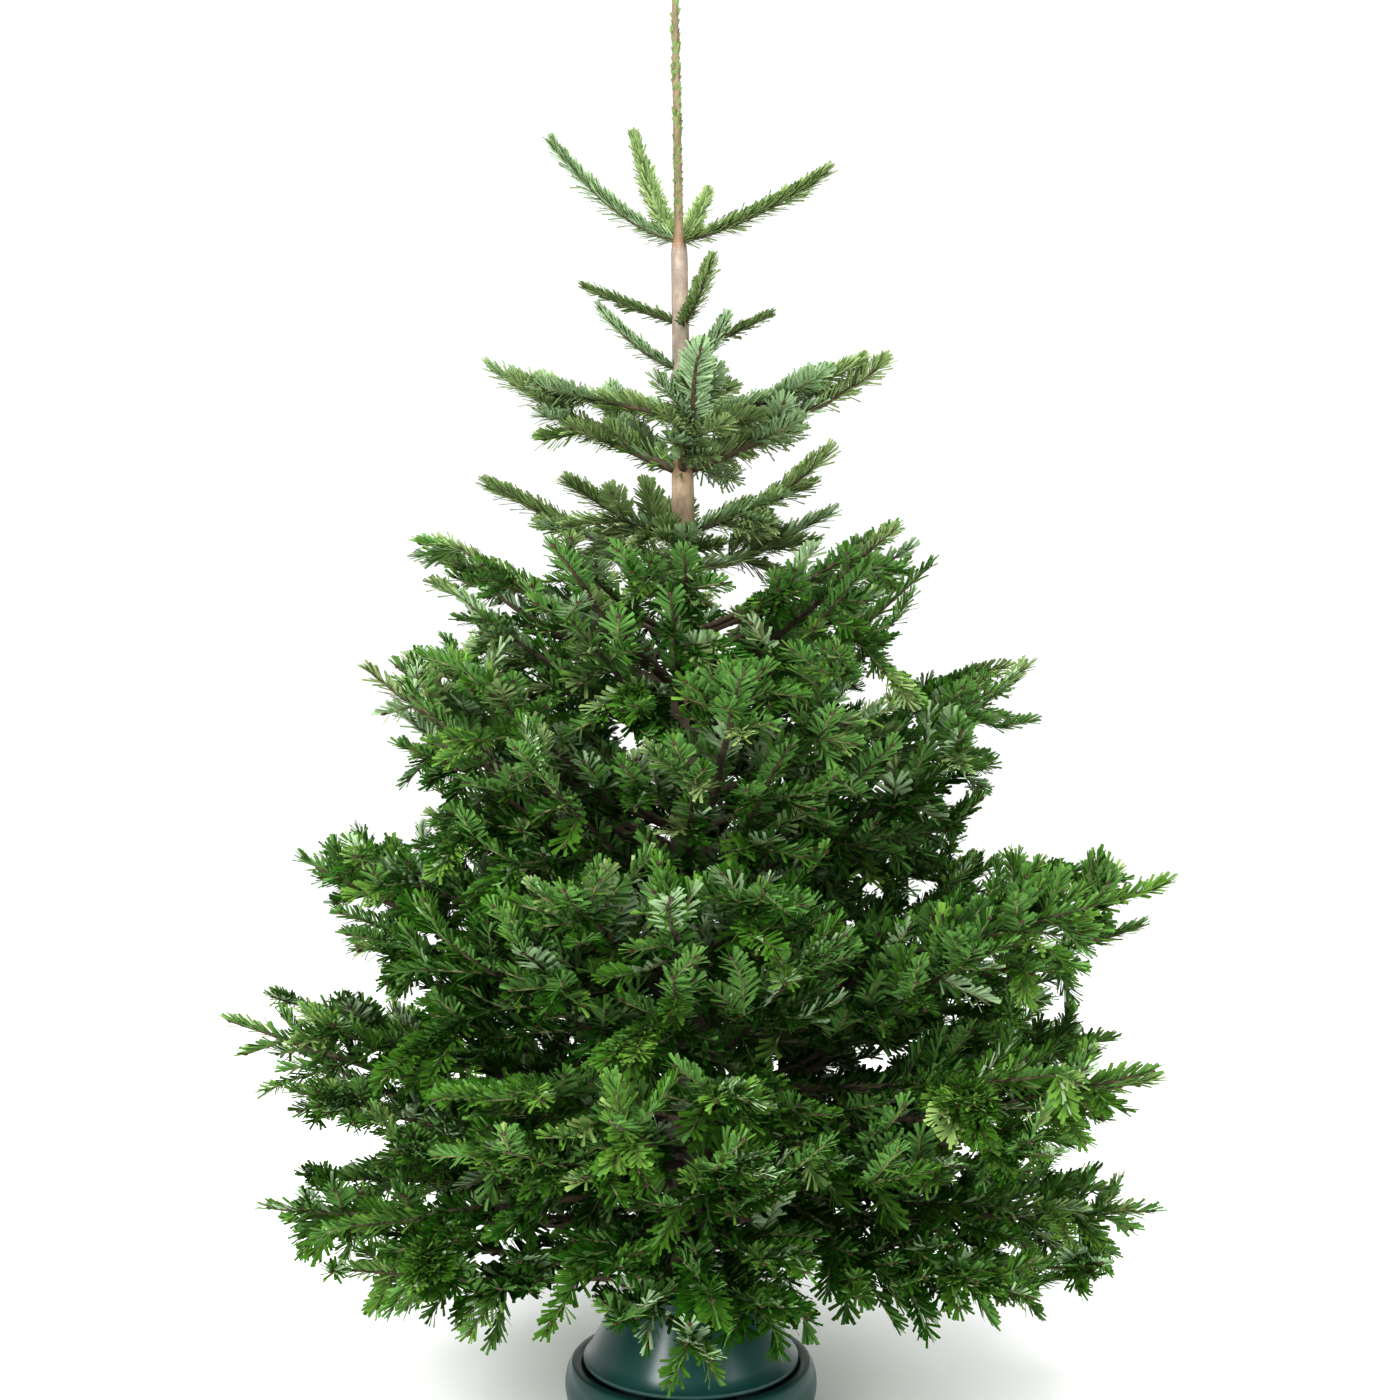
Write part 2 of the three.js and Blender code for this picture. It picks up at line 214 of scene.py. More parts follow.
def plastic_finish(name, colour, worn, low, high):
    """Moulded plastic: a faint orange-peel skin, with dustier, duller patches."""
    made, tree, shader = material(name, colour, low)
    patches = noise(tree, 9, 5)
    tree.links.new(ramp(tree, patches, [(0.4, colour), (0.8, worn)]), shader.inputs["Base Color"])
    tree.links.new(spread(tree, patches, low, high), shader.inputs["Roughness"])
    bumped(tree, shader, noise(tree, 420, 2), 0.0004, 0.12)
    return made


# Needle tints, dealt out by shoot. The first five go from old growth to new, and as shoots further out
# get lighter ones, the darker also paint shade deep in the crown and light paints a sheen highlight at
# its rim. The next two are the greyer tones of the top, and the last two are for undersides, where pale,
# darker than silver, is painted shade on the undersides of the lower tiers.
TINTS = [
    # darkest tint: old growth, and painted shade deep inside the crown
    ("old", (0.011, 0.050, 0.003), 0.7),
    ("deep", (0.023, 0.088, 0.006), 0.65),
    ("full", (0.056, 0.142, 0.015), 0.6),
    ("fresh", (0.125, 0.238, 0.042), 0.6),
    # lightest tint: a painted sheen highlight on the shoots at the crown's rim
    ("light", (0.270, 0.375, 0.130), 0.6),
    ("olive", (0.225, 0.305, 0.125), 0.65),
    ("moss", (0.150, 0.220, 0.080), 0.65),
    ("silver", (0.300, 0.425, 0.240), 0.7),
    # painted shade: a darker underside tint, given to most undersides in the lower tiers
    ("pale", (0.110, 0.235, 0.060), 0.7),
]
FRESH, OLIVE, MOSS, SILVER, UNDERSIDE_SHADE = 3, 5, 6, 7, 8

needle_finishes = [material(f"needle_{tint}", colour, rough, 0.05)[0] for tint, colour, rough in TINTS]
trunk_finish = trunk_bark_finish()
bough_finish = bough_bark_finish("bough_bark", (0.030, 0.022, 0.013), (0.110, 0.078, 0.045))
twig_finish = bough_bark_finish("twig_bark", (0.085, 0.095, 0.036), (0.200, 0.205, 0.085))
bud_finish = bough_bark_finish("bud_scales", (0.036, 0.022, 0.012), (0.100, 0.060, 0.030))
stand_finish = plastic_finish("stand_green", (0.003, 0.042, 0.036), (0.010, 0.060, 0.055), 0.24, 0.36)
clamp_finish = plastic_finish("clamp_black", (0.012, 0.013, 0.014), (0.022, 0.023, 0.024), 0.38, 0.55)


# ---------------- meshes from arrays

def joined_mesh(name, points, face_sets, finishes, which=None, smooth=False):
    """One mesh from an array of points and arrays of faces, each array with one corner count."""
    mesh = bpy.data.meshes.new(name)
    corners = np.concatenate([faces.ravel() for faces in face_sets]).astype(np.int32)
    sizes = np.concatenate([np.full(len(faces), faces.shape[1]) for faces in face_sets])
    starts = np.concatenate([[0], np.cumsum(sizes)[:-1]]).astype(np.int32)
    mesh.vertices.add(len(points))
    mesh.vertices.foreach_set("co", points.astype(np.float32).ravel())
    mesh.loops.add(len(corners))
    mesh.loops.foreach_set("vertex_index", corners)
    mesh.polygons.add(len(sizes))
    mesh.polygons.foreach_set("loop_start", starts)
    for finish in finishes:
        mesh.materials.append(finish)
    if which is not None:
        mesh.polygons.foreach_set("material_index", which.astype(np.int32))
    mesh.polygons.foreach_set("use_smooth", np.full(len(sizes), smooth))
    mesh.update(calc_edges=True)
    piece = bpy.data.objects.new(name, mesh)
    bpy.context.scene.collection.objects.link(piece)
    return piece


def unit(vectors):
    """Each vector at length one."""
    return vectors / np.maximum(np.linalg.norm(vectors, axis=-1, keepdims=True), 1e-9)


def frames(along):
    """Upward and sideways unit vectors square to each direction."""
    ref = np.where(np.abs(along[..., 2:]) > 0.93, np.array([[0.0, -1.0, 0.0]]), np.array([[0.0, 0.0, 1.0]]))
    side = unit(np.cross(along, ref))
    return np.cross(side, along), side


def tube_arrays(path, radii, sides, relief=0.0):
    """Points and faces of one closed tube along a path; relief roughens its rings."""
    path = np.asarray(path, float)
    along = unit(np.gradient(path, axis=0))
    up, side = frames(along)
    turn = np.arange(sides) * 2 * math.pi / sides
    swell = np.asarray(radii)[:, None] * (1 + relief * rng.uniform(-1, 1, (len(path), sides)))
    ring = np.cos(turn)[None, :, None] * side[:, None] + np.sin(turn)[None, :, None] * up[:, None]
    points = (path[:, None] + ring * swell[..., None]).reshape(-1, 3)
    points = np.vstack([points, path[0], path[-1]])
    rings = len(path)
    a = np.arange(sides)
    b = (a + 1) % sides
    rows = (np.arange(rings - 1) * sides)[:, None]
    quads = np.stack([rows + a, rows + a + sides, rows + b + sides, rows + b], -1).reshape(-1, 4)
    last = (rings - 1) * sides
    first_cap = np.stack([a, b, np.full(sides, rings * sides)], -1)
    last_cap = np.stack([last + b, last + a, np.full(sides, rings * sides + 1)], -1)
    return points, quads, np.vstack([first_cap, last_cap])


def tubes(name, paths, radii, sides, finish, relief=0.0):
    """Many closed tubes joined in one smooth piece."""
    points, quads, caps, count = [], [], [], 0
    for path, radius in zip(paths, radii):
        p, q, c = tube_arrays(path, radius, sides, relief)
        points.append(p)
        quads.append(q + count)
        caps.append(c + count)
        count += len(p)
    sets = [np.vstack(quads), np.vstack(caps)]
    return joined_mesh(name, np.vstack(points), sets, [finish], smooth=True)


# ---------------- the frame that the tree grows on

def node_points(name):
    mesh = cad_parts[name].data
    points = np.zeros(len(mesh.vertices) * 3, np.float32)
    mesh.vertices.foreach_get("co", points)
    return points.reshape(-1, 3).astype(float)


class Trunk:
    """The CAD trunk's centre line and radius by height."""

    def __init__(self):
        points = node_points("trunk")
        self.heights = np.unique(np.round(points[:, 2], 4))
        rings = [points[np.abs(points[:, 2] - z) < 2e-4] for z in self.heights]
        middles = [(ring.max(0) + ring.min(0)) / 2 for ring in rings]
        self.x, self.y = np.array(middles)[:, :2].T
        self.radii = np.array([(ring[:, 0].max() - ring[:, 0].min()) / 1.9 for ring in rings])

    def centre(self, z):
        return Vector((np.interp(z, self.heights, self.x), np.interp(z, self.heights, self.y), z))

    def radius(self, z):
        return float(np.interp(z, self.heights, self.radii))

    def out(self, point):
        """The level distance of a point from the trunk's centre line."""
        return (Vector(point) - self.centre(point[2])).length


class Mass:
    """A CAD mass of needles, which its shoots stay inside, with its boughs' habit of growth."""

    def __init__(self, name, habit, brush):
        self.name = name
        self.habit = habit
        self.brush = brush
        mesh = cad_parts[name].data
        self.points = node_points(name)
        corners = [tuple(face.vertices) for face in mesh.polygons]
        self.tree = BVHTree.FromPolygons([tuple(p) for p in self.points], corners)
        middle = self.points.mean(0) - np.array(trunk.centre(self.points[:, 2].mean()))
        self.azimuth = math.atan2(middle[1], middle[0])
        self.turns = np.radians(np.arange(-45, 46, 3))
        self.reaches = np.array([self.reach(self.azimuth + turn) for turn in self.turns])

    def depth(self, point):
        """How deep a place lies under the mass's surface, below zero outside it."""
        gap = self.tree.find_nearest(point)[3]
        levels = self.levels(point[0], point[1])
        return gap if levels and levels[0] < point[2] < levels[1] else -gap

    def levels(self, x, y):
        """The heights of the underside and the top over a place, or None beside the mass."""
        low = self.tree.ray_cast(Vector((x, y, -1)), UP)[0]
        high = self.tree.ray_cast(Vector((x, y, 4)), -UP)[0]
        return None if low is None or high is None else (low.z, high.z)

    def reach(self, azimuth):
        """How far the mass goes out from the trunk in a direction."""
        steps = np.arange(0.06, 0.8, 0.01)
        held = [s for s in steps if self.levels(math.cos(azimuth) * s, math.sin(azimuth) * s)]
        return max(held) if held else 0.0

    def rim_share(self, point):
        """How far out a place is, as a share of the mass's reach in its direction."""
        turn = (math.atan2(point[1], point[0]) - self.azimuth + math.pi) % (2 * math.pi) - math.pi
        return math.hypot(point[0], point[1]) / max(0.05, np.interp(turn, self.turns, self.reaches))

    def spot(self, azimuth, distance, share):
        """A place inside the mass, at a share of its thickness there."""
        x, y = math.cos(azimuth) * distance, math.sin(azimuth) * distance
        levels = self.levels(x, y)
        return None if levels is None else Vector((x, y, levels[0] + (levels[1] - levels[0]) * share))


trunk = Trunk()


# ---------------- growth

class Growth:
    """All shoots of the tree. A shoot is one year's growth: a bent line, its age and its mass."""

    def __init__(self):
        self.shoots = []
        self.boughs = []
        self.waiting = deque()
        self.cells = defaultdict(list)

    def crowded(self, mass, point, easing=1.0):
        """Whether other shoots are too near. Near the mass's surface they may stand closer."""
        deep = min(1.0, max(0.0, mass.depth(point)) / SHELL)
        room = (RIM_ROOM + (CORE_ROOM - RIM_ROOM) * deep) * mass.habit["room"] * easing
        cell = [int(c // CORE_ROOM) for c in point]
        for dx in (-1, 0, 1):
            for dy in (-1, 0, 1):
                for dz in (-1, 0, 1):
                    for other in self.cells[(cell[0] + dx, cell[1] + dy, cell[2] + dz)]:
                        gap = other - point
                        gap.z *= LAYERING
                        if gap.length < room:
                            return True
        return False

    def occupy(self, point):
        self.cells[tuple(int(c // CORE_ROOM) for c in point)].append(point)

    def add_axis(self, mass, nodes, step, order, radius, bends=None):
        """Adds the yearly shoots between the nodes of an axis, then what branches from them."""
        years = len(nodes) - 1
        taper = radius - AXIS_TIP
        thickness = [AXIS_TIP + taper * (1 - i / years) ** 0.85 for i in range(years + 1)]
        before = (nodes[1] - nodes[0]).normalized()
        axis = []
        for i in range(years):
            start, end = nodes[i], nodes[i + 1]
            heading = (end - start).normalized()
            length = (end - start).length
            bend = bends[i] if bends else (start + end) / 2 + (before - heading) * length * 0.16
            age = years - 1 - i
            axis.append({"mass": mass, "start": start, "bend": bend, "end": end, "age": age, "order": order,
                         "radii": (thickness[i], thickness[i + 1]), "heading": heading})
            self.occupy(start.lerp(end, 0.35))
            self.occupy(start.lerp(end, 0.85))
            before = heading
            if order >= DEEPEST_ORDER:
                continue
            if age > 0:
                self.side_axes(mass, end, heading, step, age, order, thickness[i + 1])
                self.stray_axes(mass, start, end, heading, step, age, order, thickness[i])
        self.shoots += axis
        return axis

    def side_axes(self, mass, node, heading, step, age, order, radius):
        """The pair of side axes at a yearly node, spread in the bough's own plane."""
        level = heading.cross(UP).normalized().cross(heading)
        level.rotate(Quaternion(heading, rng.normal(0, 0.22)))
        for side in (-1, 1):
            turned = heading.copy()
            turned.rotate(Quaternion(level, side * math.radians(rng.uniform(*SIDE_ANGLES))))
            self.waiting.append((mass, node, turned, step * SIDE_RATIO * rng.uniform(0.88, 1.1), age,
                                 order + 1, max(0.0018, radius * 0.62)))

    def stray_axes(self, mass, start, end, heading, step, age, order, radius):
        """Smaller axes from anywhere along a shoot and round it."""
        for _ in range(STRAYS[order]):
            across = heading.orthogonal().normalized()
            across.rotate(Quaternion(heading, rng.uniform(0, 2 * math.pi)))
            turned = heading.copy()
            turned.rotate(Quaternion(across, math.radians(rng.uniform(*STRAY_ANGLES))))
            years = 1 if age < 2 else int(rng.integers(1, 3))
            self.waiting.append((mass, start.lerp(end, rng.uniform(0.2, 0.9)), turned,
                                 step * rng.uniform(0.5, 0.75), years, order + 1,
                                 max(AXIS_TIP, radius * 0.4)))

    def grow_axis(self, mass, start, heading, step, years, order, radius):
        """Grows an axis year by year until it leaves its mass, nears the rim or meets other shoots."""
        step = max(step, SHORTEST_STEP)
        heading.z *= mass.habit["slope"]
        furthest = rng.uniform(0.80, 1.03)
        nodes = [start]
        for _ in range(years):
            here = nodes[-1]
            outward = Vector((here.x, here.y, 0)).normalized()
            wander = Vector(rng.normal(0, 0.06, 3))
            pulled = outward * OUTWARD_PULL * order + UP * mass.habit["lift"]
            heading = (heading + pulled + wander).normalized()
            length = step * rng.uniform(0.85, 1.15)
            end = here + heading * length
            if mass.depth(end) < -mass.habit["slack"]:
                length = max(length * 0.62, SHORTEST_STEP * 0.8)
                end = here + heading * length
            if mass.depth(end) < -mass.habit["slack"] or self.crowded(mass, here.lerp(end, 0.8)):
                break
            if mass.habit is not YOUNG and mass.rim_share(end) > furthest:
                break
            nodes.append(end)
        if len(nodes) > 1:
            self.add_axis(mass, nodes, step, order, radius)

    def bough(self, mass, start, tip, years, radius, early=0.34):
        """A bough from the trunk. It makes the early share of its rise in its nearer half."""
        level = tip - start
        control = start + Vector((level.x * 0.5, level.y * 0.5, level.z * early))
        share = [i / years for i in range(years + 1)]
        nodes = [start.lerp(control, t).lerp(control.lerp(tip, t), t) for t in share]
        bends = [start.lerp(control, a).lerp(control.lerp(tip, a), b) + Vector(rng.normal(0, 0.004, 3))
                 for a, b in zip(share, share[1:])]
        self.boughs.append(self.add_axis(mass, nodes, level.length / years, 0, radius, bends))

    def run(self):
        while self.waiting:
            self.grow_axis(*self.waiting.popleft())

    def fill(self, masses):
        """Short shoots from the nearest wood into the parts of a mass that are still empty."""
        near = KDTree(len(self.shoots) * 2)
        for i, shoot in enumerate(self.shoots):
            near.insert(shoot["start"].lerp(shoot["end"], 0.3), i)
            near.insert(shoot["end"], i)
        near.balance()
        for mass in masses:
            low, high = mass.points.min(0), mass.points.max(0)
            for goal in rng.uniform(low, high, (int(np.prod(high - low) * 60000), 3)):
                goal = Vector(goal)
                if trunk.out(goal) < BARE_REACH * 1.3 or mass.depth(goal) < 0:
                    continue
                wood, index, distance = near.find(goal)
                if not FILL_GAP < distance < 0.16 or self.crowded(mass, goal, 0.95):
                    continue
                start = Vector(wood)
                outward = Vector((start.x, start.y, 0)).normalized()
                heading = (goal - start).normalized() + self.shoots[index]["heading"] * 0.3 + outward * 0.6
                length = min(distance, rng.uniform(0.06, 0.095))
                end = start + heading.normalized() * length
                if mass.depth(end) > -mass.habit["slack"] and mass.rim_share(end) < 0.97:
                    self.add_axis(mass, [start, end], length, DEEPEST_ORDER, 0.0017)

    def hang(self, masses, nearest, furthest):
        """Drooping shoots under some masses, between two distances from the trunk."""
        for shoot in [s for s in self.shoots if s["mass"] in masses and rng.random() < 0.35]:
            start = shoot["start"].lerp(shoot["end"], rng.uniform(0.3, 1.0))
            mass = shoot["mass"]
            if not nearest < trunk.out(start) < furthest or mass.depth(start - UP * 0.045) > 0:
                continue
            outward = Vector((start.x, start.y, 0)).normalized()
            sideways = outward.cross(UP) * rng.normal(0, 0.35)
            heading = (outward * rng.uniform(0.4, 1.1) - UP + sideways).normalized()
            nodes = [start, start + heading * rng.uniform(0.045, 0.07)]
            if not self.crowded(mass, nodes[1]):
                self.add_axis(mass, nodes, 0.06, DEEPEST_ORDER, 0.0018)


growth = Growth()


def leave_trunk(azimuth, height):
    """Where a limb leaves the trunk: a little under its bark."""
    centre = trunk.centre(height)
    inset = trunk.radius(height) * 0.6
    return centre + Vector((math.cos(azimuth) * inset, math.sin(azimuth) * inset, 0))


def plant_tier(name, tier):
    """The whorl's boughs, one to each mass, and the smaller boughs over and under them."""
    whorl = WHORLS[tier["whorl"]]
    names = [n for n in sorted(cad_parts) if n.startswith(name + "_foliage")]
    masses = [Mass(n, tier, tier["brush"]) for n in names]
    thick = 0.0022 + 0.002 * tier["years"] ** 0.85
    for mass in masses:
        best = max(np.radians([-10, -5, 0, 5, 10]) + mass.azimuth, key=mass.reach)
        reach = mass.reach(best)
        tip = mass.spot(best, reach - 0.006, 0.6)
        growth.bough(mass, leave_trunk(best, whorl), tip, tier["years"], thick)
    for mass in masses:
        for place, share in [("over", 0.86), ("under", 0.14)]:
            for i in range(tier[place]):
                lean = math.radians(rng.uniform(9, 15) * (i * 2 - tier[place] + 1))
                azimuth = mass.azimuth + lean + rng.normal(0, 0.03)
                reach = mass.reach(azimuth) * rng.uniform(0.86, 1.0) - 0.006
                tip = mass.spot(azimuth, reach, share)
                if tip is None:
                    continue
                offset = rng.uniform(0.03, 0.085) * (1 if place == "over" else -1)
                years = max(2, tier["years"] - 1)
                growth.bough(mass, leave_trunk(azimuth, whorl + offset), tip, years, thick * 0.6)
    return masses


def sleeve(name):
    """The two ends of a single shoot's CAD sleeve and its greatest radius."""
    points = np.unique(np.round(node_points(name), 5), axis=0)
    order = np.argsort([trunk.out(p) for p in points])
    low, tip = points[order[:SLEEVE_ENDS]].mean(0), points[order[-SLEEVE_ENDS:]].mean(0)
    beside = np.cross(points - low, unit(tip - low))
    return Vector(low), Vector(tip), np.percentile(np.linalg.norm(beside, axis=1), 80)


def plant_shoots(prefix, years):
    """Single shoots and small twigs straight from the trunk."""
    masses = []
    for name in sorted(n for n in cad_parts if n.startswith(prefix)):
        low, tip, radius = sleeve(name)
        mass = Mass(name, YOUNG, float(np.clip(radius / SLEEVE_RADIUS, 0.6, 1.25)))
        azimuth = math.atan2(tip.y, tip.x - trunk.centre(tip.z).x)
        growth.bough(mass, leave_trunk(azimuth, low.z), tip, years, 0.0030 + 0.0008 * years, 0.16)
        masses.append(mass)
    return masses


leader_mass = Mass("top_shoot_1", {**YOUNG, "lean": 0.36}, 1.0)
tier_masses = {name: plant_tier(name, tier) for name, tier in TIERS.items()}
growth.run()
for _ in range(2):
    for name in list(TIERS)[:-1]:
        growth.fill(tier_masses[name])
for name, (nearest, furthest) in HANGING.items():
    growth.hang(tier_masses[name], nearest, furthest)
young = plant_shoots("top_shoot", 1) + plant_shoots("upper_twig", 1) + plant_shoots("crown_twig", 2)
growth.run()


# ---------------- needles, twigs and buds

class Envelope:
    """How far the whole crown goes out from the trunk, by height."""

    STEP = 0.04

    def __init__(self, masses):
        self.reach = defaultdict(float)
        for mass in masses:
            for point in mass.points:
                for level in (-1, 0, 1):
                    key = int(point[2] // self.STEP) + level
                    self.reach[key] = max(self.reach[key], trunk.out(point))

    def share(self, point):
        return trunk.out(point) / max(0.1, self.reach[int(point[2] // self.STEP)])


envelope = Envelope(sum(tier_masses.values(), []))


def needle_share(shoot):
    """How thickly a shoot is clothed: less inside the crown, less on old wood, bare at the trunk."""
    middle = shoot["start"].lerp(shoot["end"], 0.5)
    kind = shoot["mass"].name.split("_foliage")[0].rstrip("_0123456789")
    if kind in TOP_FULLNESS:
        return TOP_FULLNESS[kind] * TOP_CLOTHED[shoot["age"]]
    if trunk.out(middle) < BARE_REACH:
        return 0.0
    hidden = max(shoot["mass"].depth(middle) / SHELL, (0.8 - envelope.share(middle)) / 0.35)
    return CLOTHED[shoot["age"]] * (1 - 0.6 * min(1.0, max(0.0, hidden)))


def deal_tints(shoots):
    """An upper and an underside tint for each shoot: newer growth is lighter, the top greyer. In the tiers,
    shoots further out are also lighter as a painted highlight and deeper ones darker as painted shade, and
    most undersides get the darker pale tint, painted shade.
    """
    upper, under = [], []
    for shoot in shoots:
        greyer = 0.5 * min(1.0, max(0.0, (shoot["end"].z - 0.75) / 0.55))
        if shoot["mass"] is leader_mass:
            above, below = [OLIVE, MOSS], [MOSS]
        elif shoot["mass"].habit is YOUNG:
            above, below = [OLIVE, MOSS], [OLIVE, MOSS, SILVER]
        elif shoot["mass"].habit["lean"] < 1:
            above, below = [FRESH, OLIVE, OLIVE, MOSS], [SILVER, SILVER, OLIVE]
        elif rng.random() < greyer:
            above, below = [FRESH, OLIVE, OLIVE, MOSS], [SILVER, OLIVE, UNDERSIDE_SHADE]
        else:
            # Shoots further out get lighter tints, a painted highlight, and deeper ones darker tints, painted
            # shade; older shoots are darker too.
            rim = min(1.0, envelope.share(shoot["end"]))
            freshness_and_rim_light = 3.2 * rim ** 1.5 - 0.75 * min(shoot["age"], 3) + rng.normal(0.1, 0.75)
            # Most undersides here get pale, darker than silver: painted shade under the lower tiers.
            above, below = [int(np.clip(round(freshness_and_rim_light), 0, 4))], [SILVER] + [UNDERSIDE_SHADE] * 5
        upper.append(rng.choice(above))
        under.append(rng.choice(below))
    return np.array(upper), np.array(under)


def closeness(shoot):
    """How far the needles stand off a shoot. They lie closer on the shoots at the crown's rim."""
    rim = min(1.0, max(0.0, (envelope.share(shoot["end"]) - 0.75) / 0.25))
    return shoot["mass"].habit["lean"] * (1 - 0.22 * rim * (shoot["mass"].habit["lean"] == 1))


def needles(name, shoots, density, scale=1.0, around=False):
    """All needles of some shoots in one mesh. Each is a closed blunt strip of four faces, two above."""
    share = np.array([s["share"] for s in shoots])
    start, bend, end = (np.array([s[key] for s in shoots]) for key in ("start", "bend", "end"))
    length = np.linalg.norm(end - start, axis=1)
    number = np.round(length * share * density).astype(int)
    which = np.repeat(np.arange(len(shoots)), number)
    order = np.arange(len(which)) - np.repeat(np.cumsum(number) - number, number)
    t = ((order + rng.random(len(which))) / number[which])[:, None]
    t = 1 - (1 - t) ** 1.15
    p0, p1, p2 = start[which], bend[which], end[which]
    at = (1 - t) ** 2 * p0 + 2 * t * (1 - t) * p1 + t * t * p2
    along = unit((1 - t) * (p1 - p0) + t * (p2 - p1))
    up, side = frames(along)
    roll = rng.normal(0, 0.25, len(shoots))[which][:, None]
    up, side = up * np.cos(roll) + side * np.sin(roll), side * np.cos(roll) - up * np.sin(roll)

    many = len(which)
    upright = (np.abs(along[:, 2]) > 0.86) | around
    rank = rng.choice(3, many, p=[0.40, 0.46, 0.14])
    about = np.choose(rank, [rng.normal(78, 16, many), rng.uniform(0, 65, many), rng.uniform(110, 170, many)])
    about = np.radians(about) * rng.choice([-1.0, 1.0], many)
    about = np.where(upright, rng.uniform(-math.pi, math.pi, many), about)[:, None]
    thick = np.array([s["mass"].habit["thick"] for s in shoots])[which]
    flatness = np.where(upright, 1.0, thick)[:, None]
    spoke = np.cos(about) * up * flatness + np.sin(about) * side
    close = np.array([closeness(s) for s in shoots])[which]
    lean = np.choose(rank, [58.0, 42.0, 56.0]) * (1.08 - 0.68 * t[:, 0] ** 6) * close + rng.normal(0, 7, many)
    lean = np.radians(np.where(upright, lean * 0.8, lean))[:, None]
    heading = unit(np.cos(lean) * along + np.sin(lean) * spoke + 0.10 * up)
    flat = np.where(upright[:, None], 0.0, np.abs(np.sin(about)))
    face = up * flat + along * (1 - flat) + rng.normal(0, 0.2, (many, 3))
    face = unit(face - (face * heading).sum(1, keepdims=True) * heading)
    across = np.cross(heading, face)

    size = NEEDLE_LENGTH * scale * (0.82 + 0.18 * np.sin(math.pi * t)) * rng.uniform(0.85, 1.12, (many, 1))
    size *= np.clip(share, 0.3, 1.0)[which][:, None] ** -0.12
    size *= np.array([s["mass"].brush for s in shoots])[which][:, None]
    width = NEEDLE_WIDTH * np.clip(share, 0.3, 1.2) ** -0.6
    width = width[which][:, None] * rng.uniform(0.9, 1.1, (many, 1))
    twig = np.array([s["radii"][0] for s in shoots])[which][:, None]
    base = at + spoke * twig * 0.6
    tip = base + heading * size
    foot = across * width * 0.45 - face * NEEDLE_RIDGE
    head = across * width * 0.55 + face * NEEDLE_RIDGE
    corners = np.stack([base - foot, base + foot, tip + head, tip - head], 1)

    first = np.arange(many)[:, None, None] * 4
    faces = (first + np.array([[0, 1, 2], [0, 2, 3], [1, 0, 3], [1, 3, 2]])).reshape(-1, 3)
    upper, under = deal_tints(shoots)
    tints = np.stack([upper[which], upper[which], under[which], under[which]], 1).ravel()
    return joined_mesh(name, corners.reshape(-1, 3), [faces], needle_finishes, tints)


def shoot_line(shoot, steps):
    """Points along a shoot's bend."""
    start, bend, end = shoot["start"], shoot["bend"], shoot["end"]
    return [start.lerp(bend, t).lerp(bend.lerp(end, t), t) for t in np.linspace(0, 1, steps + 1)]


def twigs(name, shoots):
    """The wood of the side shoots, each a thin tube with a slight bend."""
    paths, radii = [], []
    for shoot in shoots:
        steps = max(2, round((shoot["end"] - shoot["start"]).length / 0.05))
        paths.append(shoot_line(shoot, steps))
        radii.append(np.linspace(*shoot["radii"], steps + 1))
    return tubes(name, paths, radii, 4, twig_finish)


def buds(name, shoots):
    """A bud at the end of each tip and one on each side of it, as pointed eight-faced ovals."""
    tips = np.array([s["end"] for s in shoots])
    along = unit(tips - np.array([s["bend"] for s in shoots]))
    side = frames(along)[1]
    pointed = [[1, 2 + i, 2 + (i + 1) % 4] for i in range(4)]
    blunt = [[0, 2 + (i + 1) % 4, 2 + i] for i in range(4)]
    sides = np.array(pointed + blunt)
    points, faces = [], []
    for turn, length, radius in [(0, 0.0085, 0.0027), (42, 0.0065, 0.0021), (-42, 0.0065, 0.0021)]:
        a = math.radians(turn)
        heading = along * math.cos(a) + side * math.sin(a)
        over = np.cross(side * math.cos(a) - along * math.sin(a), heading)
        beside = np.cross(heading, over)
        back = tips - heading * 0.0015
        belly = tips + heading * length * 0.35
        ring = [belly + spoke * radius for spoke in (over, beside, -over, -beside)]
        bud = np.stack([back, tips + heading * length, *ring], 1)
        first = np.arange(len(points) * len(shoots), (len(points) + 1) * len(shoots))[:, None, None] * 6
        points.append(bud.reshape(-1, 3))
        faces.append((first + sides).reshape(-1, 3))
    return joined_mesh(name, np.vstack(points), [np.vstack(faces)], [bud_finish])


def finish_piece(piece, replaced=()):
    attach(piece, "root")
    if replaced:
        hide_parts(*replaced)


def clothe(name, masses, density):
    """Needles, twigs and buds of some masses. The needles are split to stay under the limit."""
    shoots = [s for s in growth.shoots if s["mass"] in masses]
    count = sum((s["end"] - s["start"]).length * s["share"] * density for s in shoots)
    parts = max(1, math.ceil(count * 4 / PIECE_LIMIT))
    groups = [masses[i::parts] for i in range(parts)]
    for i, group in enumerate(groups):
        own = [s for s in shoots if s["mass"] in group]
        part = name if parts == 1 else f"{name}_{i + 1}"
        finish_piece(needles(f"needles_{part}", own, density), [m.name for m in group])
    finish_piece(twigs(f"twigs_{name}", [s for s in shoots if s["order"] > 0]))
    showing = [s for s in shoots if s["age"] == 0 and s["mass"].depth(s["end"]) < SHOWING_DEPTH]
    finish_piece(buds(f"buds_{name}", showing))


for shoot in growth.shoots:
    shoot["share"] = needle_share(shoot)
density = NEEDLE_COUNT / sum((s["end"] - s["start"]).length * s["share"] for s in growth.shoots)
for name, masses in tier_masses.items():
    clothe(name, masses, density)
clothe("young_shoots", young, density)


